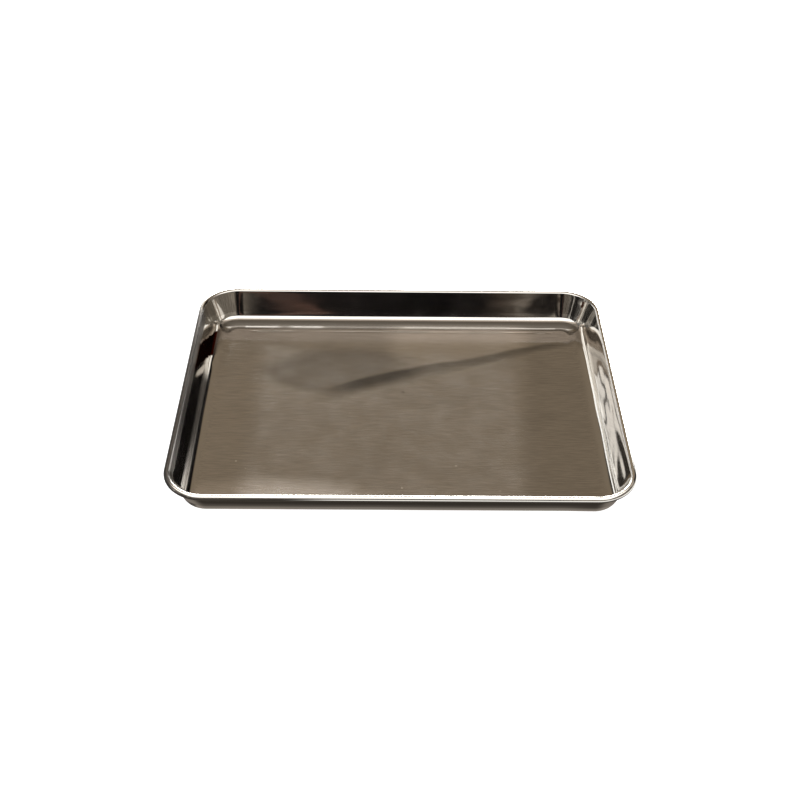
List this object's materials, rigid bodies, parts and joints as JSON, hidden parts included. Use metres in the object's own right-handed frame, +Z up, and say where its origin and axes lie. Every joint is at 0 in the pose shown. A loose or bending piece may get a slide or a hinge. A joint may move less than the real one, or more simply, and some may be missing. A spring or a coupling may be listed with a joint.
{
  "type": "developing tray",
  "caption": "Shallow rectangular stainless steel tray with flared walls, rounded corners and a rolled rim round a wire.",
  "frame": {"origin": "middle of the underside, on the surface the tray stands on", "axes": "+X along the long side, +Y along the short side towards the far long wall, +Z up"},
  "size_m": [0.406, 0.316, 0.033],
  "materials": {
    "polished_stainless": "polished stainless steel sheet, mirror walls and rim, hazier scratched floor",
    "steel_wire": "drawn steel wire, satin"
  },
  "bodies": {
    "root": {"tray_pan": "polished_stainless", "rim_wire": "steel_wire"}
  },
  "joints": []
}
